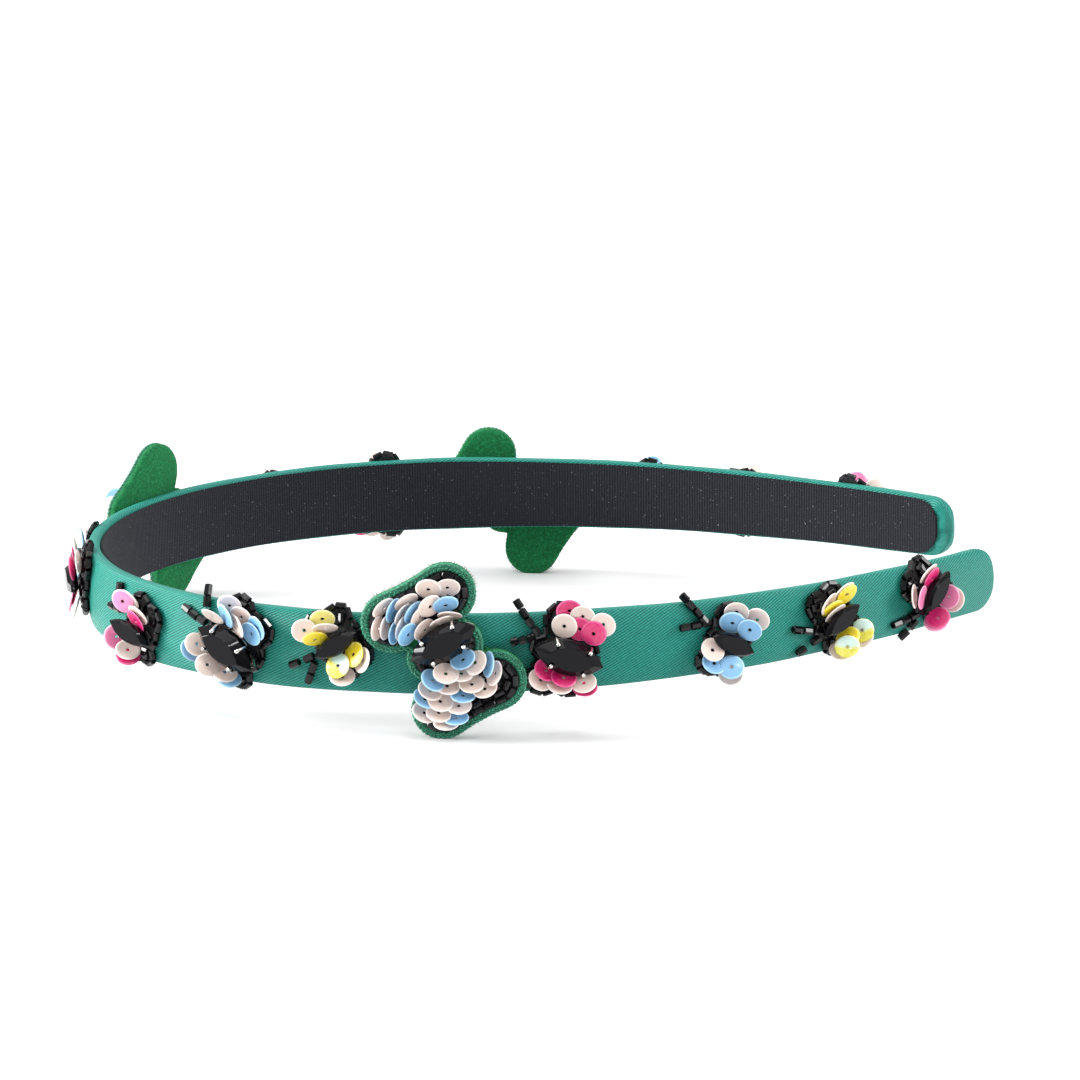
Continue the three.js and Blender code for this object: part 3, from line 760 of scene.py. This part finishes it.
def make_lining():
    """Ribbon glued to the inner face, with round ends"""
    end = HALF_LENGTH - LINING_TIP_MARGIN
    distance, lost = strip_stations(end, LINING_STEP)
    half_width = band_width(np.abs(distance)) / 2 - LINING_MARGIN - lost
    place, _, outward = band_frame(distance)
    share = np.cos(np.linspace(0, math.pi, 15))
    out = np.concatenate([LINING_INNER + LINING_BULGE * share ** 4, np.full(5, LINING_OUTER)])
    share = np.concatenate([share, [-0.97, -0.5, 0, 0.5, 0.97]])
    up = half_width[:, None] * share
    points = place[:, None] + outward[:, None] * out[:, None] + UP * up[..., None]
    spots = np.stack(np.broadcast_arrays(distance[:, None], up), 2).reshape(-1, 2)
    rows, columns = len(distance), len(share)
    shape = Shape()
    shape.add(points, grid_faces(rows, columns), 0, spots)
    ring = list(range(columns))
    shape.close(fan(ring[::-1]))
    shape.close(fan([(rows - 1) * columns + i for i in ring]))
    lining = make_piece("ribbon_lining", shape, [RIBBON], 50)
    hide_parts("band_lining")


# Butterflies


def wing_distance(form, x, y):
    """Distance outside a butterfly's outline, negative inside, with soft corners"""
    softness = 0.4
    body = form["body"]
    low, high = -form["tail"] + body, form["head"] - body
    parts = [np.hypot(np.abs(x) - out, y - ahead) - radius for out, ahead, radius in form["lobes"]]
    parts.append(np.hypot(x, y - np.clip(y, low, high)) - body)
    if form.get("bridged"):
        (out, fore, radius), (_, hind, _) = form["lobes"]
        parts.append(np.hypot(np.abs(x) - out, y - np.clip(y, hind, fore)) - radius)
    return -softness * np.log(sum(np.exp(-part / softness) for part in parts)) + 0.15


def contours(values, xs, ys):
    """Closed lines where a field on a grid crosses zero, as lists of points"""
    inside = values < 0
    links = {}

    def crossing(i, j, i2, j2):
        a, b = values[i, j], values[i2, j2]
        share = a / (a - b)
        return (xs[i] + (xs[i2] - xs[i]) * share, ys[j] + (ys[j2] - ys[j]) * share)

    cell_i, cell_j = np.nonzero(
        (inside[:-1, :-1] != inside[1:, :-1]) | (inside[:-1, :-1] != inside[:-1, 1:])
        | (inside[:-1, :-1] != inside[1:, 1:])
    )
    for i, j in zip(cell_i, cell_j):
        corners = [(i, j), (i + 1, j), (i + 1, j + 1), (i, j + 1)]
        cuts = []
        for first, second in zip(corners, corners[1:] + corners[:1]):
            if inside[first] != inside[second]:
                cuts.append((tuple(sorted((first, second))), inside[first]))
        for (edge_a, leaving), (edge_b, _) in zip(cuts[::2], cuts[1::2]):
            start, stop = (edge_a, edge_b) if leaving else (edge_b, edge_a)
            links[start] = stop
    lines = []
    while links:
        first = edge = next(iter(links))
        line = []
        while edge in links:
            line.append(crossing(*edge[0], *edge[1]))
            edge = links.pop(edge)
            if edge == first:
                break
        lines.append(np.array(line))
    return lines

def outlines(form, inset, step):
    """Closed outlines of a butterfly, drawn inside its edge by the inset, at even steps"""
    # A grid wide enough for the largest butterfly, in steps of 0.15 mm
    xs = np.arange(-15, 15.01, 0.15)
    ys = np.arange(-13, 13.01, 0.15)
    loops = []
    for line in contours(wing_distance(form, xs[:, None], ys[None]) + inset, xs, ys):
        if np.linalg.norm(line - np.roll(line, 1, 0), axis=1).sum() < SHORTEST_ROW:
            continue
        area = np.sum(line[:, 0] * np.roll(line[:, 1], -1) - line[:, 1] * np.roll(line[:, 0], -1))
        loops.append(even_steps(line if area > 0 else line[::-1], step, True))
    return loops


def outline(form, inset, step):
    """The longest of those outlines, from its right side round"""
    line = max(outlines(form, inset, step), key=len)
    return np.roll(line, -int(np.argmax(line[:, 0] - np.abs(line[:, 1]))), 0)


def outward_ways(line, reach):
    """Ways out of a closed line at its points, square to neighbours at a reach"""
    tangent = unit(np.roll(line, -reach, 0) - np.roll(line, reach, 0))
    return np.stack([tangent[:, 1], -tangent[:, 0]], 1)


def even_steps(points, step, closed):
    points = np.asarray(points, float)
    if closed:
        points = np.vstack([points, points[:1]])
    run = run_along(points)
    count = max(int(round(run[-1] / step)), 2)
    marks = np.linspace(0, run[-1], count + 1)
    if closed:
        marks = marks[:-1]
    return np.stack([np.interp(marks, run, points[:, k]) for k in range(points.shape[1])], 1)


def bead_profile():
    half = BEAD_LENGTH / 2
    return [
        (0.22, -half), (0.44, -half), (BEAD_RADIUS, -half + 0.1),
        (BEAD_RADIUS, half - 0.1), (0.44, half), (0.22, half),
    ]


BEAD_POINTS, BEAD_FACES = revolve(bead_profile(), 7)


def add_bead(shape, start, end, rng, fat=1.0):
    """Cut bugle bead from one end to the other, in the band's own frame"""
    length = np.linalg.norm(end - start)
    way = unit(end - start)
    side = unit(np.cross(way, [0.3, 0.2, 0.93]))
    roll = rng.uniform(0, math.tau)
    a = side * math.cos(roll) + np.cross(way, side) * math.sin(roll)
    points = BEAD_POINTS * np.array([fat, fat, length / BEAD_LENGTH])
    shape.add((start + end) / 2 + points @ np.stack([a, np.cross(way, a), way]), BEAD_FACES)


def add_bead_row(shape, path, lift, to_place, rng):
    """Beads end to end along a closed path of right and ahead"""
    marks = even_steps(path, BEAD_PITCH, True)
    for a, b in zip(marks, np.roll(marks, -1, 0)):
        a, b = a + rng.normal(0, 0.07, 2), b + rng.normal(0, 0.07, 2)
        gap = (b - a) * (0.5 * (1 - BEAD_LENGTH / BEAD_PITCH) + rng.uniform(0, 0.05))
        up = lift + rng.normal(0, 0.06)
        ends = to_place([[*(a + gap), up], [*(b - gap), up + rng.normal(0, 0.06)]])
        add_bead(shape, *ends, rng)


def sequin_profile(radius, cup):
    """Radius and height round the section of a cupped sequin with a soft rim"""
    half = SEQUIN_THICKNESS / 2
    reach = np.array([0.32, 0.38, 0.8, 1.3, 1.75, radius - 0.1, radius - 0.02])
    height = cup * ((reach - 0.5).clip(0) / (radius - 0.5)) ** 1.6
    soft = np.array([0.5, 1, 1, 1, 1, 0.8, 0.4]) * half
    front = np.stack([reach, height + soft], 1)
    back = np.stack([reach, height - soft], 1)[::-1]
    return np.vstack([front, [(radius + 0.02, cup)], back, [(SEQUIN_HOLE, 0.0)]])


def face_axes(lean, toward):
    """Unit ways across and along a leaning disc, and its normal, for a lean in degrees"""
    lean, toward = math.radians(lean), math.radians(toward)
    down = np.array([math.cos(toward), math.sin(toward), 0.0])
    normal = UP * math.cos(lean) + down * math.sin(lean)
    first = np.cross(UP, down)
    return first, np.cross(normal, first), normal


def rim_points():
    """Places over a disc of radius 1 where its height is compared with others"""
    angle = np.arange(20) * math.tau / 20
    rings = [np.stack([r * np.cos(angle), r * np.sin(angle)], 1) for r in (1.0, 0.6, 0.25)]
    return np.vstack(rings) * SEQUIN_RADIUS


RIM = rim_points()


def over_disc(points, x, y, normal):
    """Height of a disc's face over its middle at some places, and which of them lie on it"""
    off = points[:, :2] - (x, y)
    rise = -(off @ normal[:2]) / normal[2]
    return rise, (off ** 2).sum(1) + rise ** 2 < SEQUIN_RADIUS ** 2


def stack_sequins(places, leans, bed_top):
    """Height of each sequin laid over the ones before it, so that none cuts another"""
    laid, heights = [], []
    for (x, y), (lean, toward) in zip(places, leans):
        first, second, normal = face_axes(lean, toward)
        rim = RIM[:, :1] * first + RIM[:, 1:] * second + (x, y, 0)
        least = bed_top + SEQUIN_RADIUS * math.sin(math.radians(lean)) * 0.55 + 0.15
        need = least
        for (other_x, other_y, other_normal, other_rim), other_height in zip(laid, heights):
            rise, on_other = over_disc(rim, other_x, other_y, other_normal)
            below = (other_height + rise - rim[:, 2])[on_other]
            rise, on_this = over_disc(other_rim, x, y, normal)
            touching = (other_rim[:, 2] + other_height - rise)[on_this]
            need = max([need, *(below + SEQUIN_GAP), *(touching + SEQUIN_GAP)])
        laid.append((x, y, normal, rim))
        heights.append(min(need, least + SEQUIN_MOST_RAISED))
    return heights


def local_sequins(seat):
    """A butterfly's sequins as right, ahead, colour, lean, way of lean and height"""
    drawn = seat
    if isinstance(seat.sequins, str):
        drawn = next(other for other in SEATS if other.name == seat.sequins)
    leans = [drawn.leaning(*seen[3:]) for seen in drawn.sequins]
    leans = [(lean * seat.lean_share, toward) for lean, toward in leans]
    heights = [seat.bed_top + 1.0] * len(leans)
    for _ in range(3):
        places = [drawn.seen_at(*seen[:2], out) for seen, out in zip(drawn.sequins, heights)]
        heights = stack_sequins(places, leans, seat.bed_top)
    colours = [seat.recolour.get(seen[2], seen[2]) for seen in drawn.sequins]
    return list(zip(places, colours, leans, heights))


def make_sequins(seat, rng):
    shape = Shape()
    for place, colour, lean, out in local_sequins(seat):
        cup = rng.choice(SEQUIN_CUPS)
        radius = SEQUIN_RADIUS * rng.uniform(0.97, 1.03)
        disc, faces = revolve(sequin_profile(radius, cup), 28)
        points = disc @ np.stack(face_axes(*lean)) + (*place, out)
        shape.add(seat.flat(points), faces, SEQUIN_COLOURS.index(colour), disc[:, :2])
    piece = make_piece(seat.name + "_sequins", shape, SEQUINS, 35)
    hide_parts(seat.name + "_wings")


def make_beads(seat, rng):
    """Rows of beads that follow the outline, filling the wings from the edge inwards"""
    shape = Shape()
    lift, to_place = BEAD_RADIUS + 0.1, seat.on_band
    if seat.kind == "large":
        lift, to_place = PATCH_BED + 0.45, seat.flat
    for inset in seat.form["bead_insets"]:
        for line in outlines(seat.form, inset, 0.3):
            add_bead_row(shape, line, lift, to_place, rng)
    lift = BEAD_RADIUS + 0.12
    for first, last, count in ANTENNAE.get(seat.name, []):
        start, end = seat.seen_at(*first, lift), seat.seen_at(*last, lift)
        way = (end - start) / (count - 1)
        half = unit(way) * min(np.linalg.norm(way), 2.0) * 0.46
        for i in range(count):
            middle = start + way * i + rng.normal(0, 0.05, 2)
            ends = seat.on_band([[*(middle - half), lift], [*(middle + half), lift]])
            add_bead(shape, *ends, rng, 1.22)
    beads = make_piece(seat.name + "_beads", shape, [BEAD], 25)


def add_slab(shape, edge, bottom, top, to_place, rounding):
    """Thick sheet with a rounded rim, over a closed outline that is seen whole from its middle"""
    middle = edge.mean(0)
    rings = []
    for share, height in (
        (0.002, bottom), (0.35, bottom), (0.7, bottom), (0.93, bottom), (0.985, bottom + rounding * 0.4),
        (1.0, bottom + rounding), (1.0, top - rounding), (0.985, top - rounding * 0.4),
        (0.93, top), (0.7, top), (0.35, top), (0.002, top),
    ):
        rings.append(at_height(middle + (edge - middle) * share, height))
    points = np.vstack(rings)
    shape.add(to_place(points), grid_faces(len(rings), len(edge))[:, ::-1], 0, points[:, :2])


def make_ground(seat):
    """Dark stitched ground under the beads"""
    shape = Shape()
    if seat.kind == "large":
        for line in outlines(seat.form, PATCH_GROUND_INSET, 0.6):
            add_slab(shape, line, PATCH_BED - 0.27, PATCH_BED - 0.02, seat.flat, 0.08)
    else:
        add_slab(shape, outline(seat.form, BAND_GROUND_INSET, 0.5), 0.05, 0.42, seat.on_band, 0.1)
    ground = make_piece(seat.name + "_ground", shape, [GROUND], 50)


def make_felt(seat):
    edge = outline(seat.form, FELT_INSET, FELT_STEP)
    shape = Shape()
    add_slab(shape, edge, 0, FELT_THICKNESS, seat.flat, 0.3)
    felt = make_piece(seat.name + "_backing", shape, [FELT], 60)
    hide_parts(seat.name + "_felt")


def make_fuzz(seat, rng):
    """Loose fibres of the felt along its edge and on its back, each a bent three-sided spike"""
    edge = outline(seat.form, FELT_INSET, FELT_STEP)
    normal = outward_ways(edge, 1)
    fibres = []
    for index, k in enumerate(rng.integers(0, len(edge), FUZZ_COUNT)):
        if index % 2:
            root = np.array([*(edge[k] - normal[k] * 0.05), rng.uniform(0.1, FELT_THICKNESS * 0.85)])
            way = np.array([*(normal[k] * rng.uniform(0.5, 1.0)), rng.normal(0, 0.5)])
        else:
            root = np.array([*(edge[k] * math.sqrt(rng.uniform(0.02, 0.92))), 0.04])
            way = np.array([rng.normal(0, 0.7), rng.normal(0, 0.7), -rng.uniform(0.15, 0.45)])
        way = way * rng.uniform(0.25, 0.75)
        bend = rng.normal(0, 0.18, 3)
        first = unit(np.cross(way, rng.normal(0, 1, 3))) * 0.02
        second = np.cross(unit(way), first)
        ring = np.array([first, -0.5 * first + 0.87 * second, -0.5 * first - 0.87 * second])
        knee = root + way * 0.6 + bend * 0.5 + ring * 0.7
        fibres.append(np.vstack([root + ring, knee, [root + way + bend]]))
    start = np.arange(FUZZ_COUNT)[:, None] * 7
    sides = [[0, 1, 4], [0, 4, 3], [1, 2, 5], [1, 5, 4], [2, 0, 3], [2, 3, 5]]
    ends = [[3, 4, 6], [4, 5, 6], [5, 3, 6], [0, 2, 1]]
    shape = Shape()
    shape.add(seat.flat(np.vstack(fibres)), np.vstack([start + corners for corners in sides + ends]))
    fuzz = make_piece(seat.name + "_fuzz", shape, [FELT], 60)


def make_yarn(seat):
    """Three-strand braid sewn round the front edge of a patch"""
    line = outline(seat.form, FELT_INSET, YARN_STEP)
    normal = outward_ways(line, 2)
    line = line - normal * YARN_INSET
    turns = round(len(line) * YARN_STEP / BRAID_TURN)
    phase = np.arange(len(line)) / len(line) * turns * math.tau
    shape = Shape()
    for strand in range(3):
        swing = phase + strand * math.tau / 3
        flat = line + normal * (YARN_SWAY * np.sin(swing))[:, None]
        lift = FELT_THICKNESS + 0.06 + 0.2 * np.sin(2 * swing)
        points, faces, spots = tube(np.column_stack([flat, lift]), STRAND_RADIUS, 7, True)
        shape.add(seat.flat(points), faces, 0, spots)
    yarn = make_piece(seat.name + "_yarn", shape, [YARN], 60)


def marquise_radius(length, width):
    return (length ** 2 + width ** 2) / (4 * width)


def marquise(length, width):
    """Outline with two pointed ends"""
    radius = marquise_radius(length, width)
    half = math.asin(length / 2 / radius)
    angle = half - 2 * half * np.arange(FACETS) / FACETS
    side = np.stack([radius * np.cos(angle) - (radius - width / 2), radius * np.sin(angle)], 1)
    return np.vstack([side, -side])


def make_stone(seat):
    """Marquise with a flat table, two tiers of crown facets and a narrow girdle"""
    gem, bottom = seat.gem, seat.stone_bottom
    edge = marquise(gem["length"], gem["width"])
    rings = [at_height(edge * share, bottom + rise * gem["height"]) for share, rise in gem["rings"]]
    points = np.vstack(rings)
    if seat.name in SWUNG_STONES:
        degrees, lift = SWUNG_STONES[seat.name]
        turn = Matrix.Rotation(math.radians(degrees), 3, Vector((-seat.cosine, seat.sine, 0)))
        middle = np.array([0, 0, bottom + gem["height"] / 2])
        points = (points - middle) @ np.array(turn).T + middle + (0, 0, lift)
    shape = Shape()
    points = points + (*seat.form["stone"], 0)
    shape.add(seat.flat(points), grid_faces(len(rings), len(edge))[:, ::-1])
    for base, turn in ((0, -1), ((len(rings) - 1) * len(edge), 1)):
        right = [base + i for i in range(FACETS + 1)]
        left = [base] + [base + 2 * FACETS - i for i in range(1, FACETS + 1)]
        shape.close(ladder(right, left, turn))
    stone = make_piece(seat.name + "_gem", shape, [STONE], 14)
    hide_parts(seat.name + "_stone")


def make_setting(seat):
    """Cup under the stone and four claws bent over its edge"""
    length, width, height = (CLASPED[key] for key in ("length", "width", "height"))
    middle = (*seat.form["stone"], 0)
    bottom = seat.bed_top + LAYER_GAP
    edge = marquise(length - 0.5, width - 0.3)
    inner = marquise(length - 0.9, width - 0.7)
    rings = [
        at_height(edge * 0.85, bottom), at_height(edge, bottom + 0.35), at_height(edge, bottom + 0.7),
        at_height(inner, bottom + 0.7), at_height(inner * 0.94, bottom + CUP_THICKNESS),
    ]
    shape = Shape()
    points = np.vstack(rings) + middle
    shape.add(seat.flat(points), grid_faces(len(rings), len(edge))[:, ::-1])
    for base, turn in ((0, -1), ((len(rings) - 1) * len(edge), 1)):
        shape.close(fan([base + i for i in range(len(edge))], turn))
    radius = marquise_radius(length, width)
    along = length / 4
    side = math.sqrt(radius ** 2 - along ** 2) - (radius - width / 2)
    lean = math.asin(along / radius)
    girdle, table = seat.stone_bottom + height * GIRDLE_SHARE, seat.stone_bottom + height
    bends = [
        (0.1, girdle - 0.4), (0.24, girdle - 0.15), (0.26, girdle + 0.25), (0.1, girdle + 0.75),
        (-0.25, table - 0.42), (-0.62, table - 0.12), (-0.86, table - 0.06),
    ]
    for sx, sy in ((1, 1), (1, -1), (-1, 1), (-1, -1)):
        out = np.array([sx * math.cos(lean), sy * math.sin(lean)])
        foot = np.array([sx * side, sy * along])
        path = even_steps([[*(foot + out * reach), rise] for reach, rise in bends], 0.16, False)
        share = np.linspace(0, 1, len(path))
        thick = 0.2 + 0.2 * np.exp(-((share - 0.82) / 0.16) ** 2)
        thick = thick * np.sqrt(np.clip(1 - ((share - 0.93).clip(0) / 0.07) ** 2, 0.03, 1))
        claw, faces, _ = tube(path, thick, 10, False, (-out[1], out[0], 0))
        shape.add(seat.flat(claw + middle), faces)
        shape.close(fan([shape.total - 10 + i for i in range(10)]))
    setting = make_piece(seat.name + "_claws", shape, [SILVER], 45)
    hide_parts(seat.name + "_setting")


def make_butterfly(index, seat):
    rng = np.random.default_rng(100 + index)
    make_sequins(seat, rng)
    make_beads(seat, rng)
    make_ground(seat)
    make_stone(seat)
    if seat.kind != "small":
        make_setting(seat)
    if seat.kind == "large":
        make_felt(seat)
        make_fuzz(seat, rng)
        make_yarn(seat)


# Stage


def make_floor():
    mesh = bpy.data.meshes.new("floor")
    mesh.from_pydata([(-6, -6, 0), (6, -6, 0), (6, 6, 0), (-6, 6, 0)], [], [(0, 1, 2, 3)])
    floor = bpy.data.objects.new("floor", mesh)
    bpy.context.scene.collection.objects.link(floor)
    look = Look("floor_white", (0.725, 0.727, 0.73), 0.6, Specular_IOR_Level=0.2)
    mesh.materials.append(look.material)


def add_light(name, place, target, size, power):
    data = bpy.data.lights.new(name, "AREA")
    data.shape = "RECTANGLE"
    data.size, data.size_y = size
    data.energy = power
    light = bpy.data.objects.new(name, data)
    bpy.context.scene.collection.objects.link(light)
    light.location = place
    way = Vector(target) - Vector(place)
    light.rotation_euler = way.to_track_quat("-Z", "Y").to_euler()


def make_lights():
    """Soft white studio: bright overhead and at both sides, dim behind the camera"""
    world = bpy.data.worlds.new("studio")
    world.use_nodes = True
    sky = Nodes(world.node_tree)
    parts = sky.add("SeparateXYZ", Vector=sky.add("TexCoord").outputs["Generated"]).outputs
    side = sky.math("POWER", sky.math("ABSOLUTE", parts["X"]), 2.0)
    above = sky.math("MAXIMUM", parts["Z"], 0.0)
    behind = sky.math("MAXIMUM", parts["Y"], 0.0)
    glow = sky.math("MULTIPLY_ADD", side, 0.55, 0.06)
    glow = sky.plus(sky.plus(glow, sky.times(above, 0.95)), sky.times(behind, 0.35))
    background = sky.tree.nodes["Background"].inputs
    background["Color"].default_value = (1, 1, 1, 1)
    sky.put(glow, background["Strength"])
    bpy.context.scene.world = world
    bpy.context.scene.view_settings.view_transform = "Standard"
    add_light("top_softbox", (-0.45, 0.15, 2.4), (0, 0, 0), (2.7, 2.1), 36)
    add_light("left_softbox", (-2.4, 0.2, 0.75), (0, 0, 0.01), (1.2, 1.05), 125)
    add_light("right_softbox", (2.4, -0.75, 0.9), (0, 0, 0.01), (1.05, 1.05), 50)
    add_light("high_strip", (0.2, -0.7, 1.1), (0, 0, 0), (0.4, 0.05), 3.2)
    add_light("left_strip", (-0.9, -0.9, 0.5), (0, 0, 0), (0.05, 0.5), 0.9)


def make_camera():
    """Camera at the photograph's place: how the band lies to it was fitted in the band's frame"""
    data = bpy.data.cameras.new("photo_camera")
    data.sensor_width = 36
    data.lens = 36 * FOCAL_SHARE
    data.clip_start, data.clip_end = 0.05, 30
    camera = bpy.data.objects.new("photo_camera", data)
    bpy.context.scene.collection.objects.link(camera)
    axes = [VIEW_SIDE @ REST_TURN.T, VIEW_TOP @ REST_TURN.T, -VIEW_FORWARD @ REST_TURN.T]
    matrix = Matrix(np.stack(axes, 1).tolist()).to_4x4()
    matrix.translation = Vector(at_rest(VIEW_PLACE) * MM)
    camera.matrix_world = matrix
    bpy.context.scene.camera = camera


make_camera()
make_cover()
make_lining()
for index, seat in enumerate(SEATS):
    make_butterfly(index, seat)
make_floor()
make_lights()
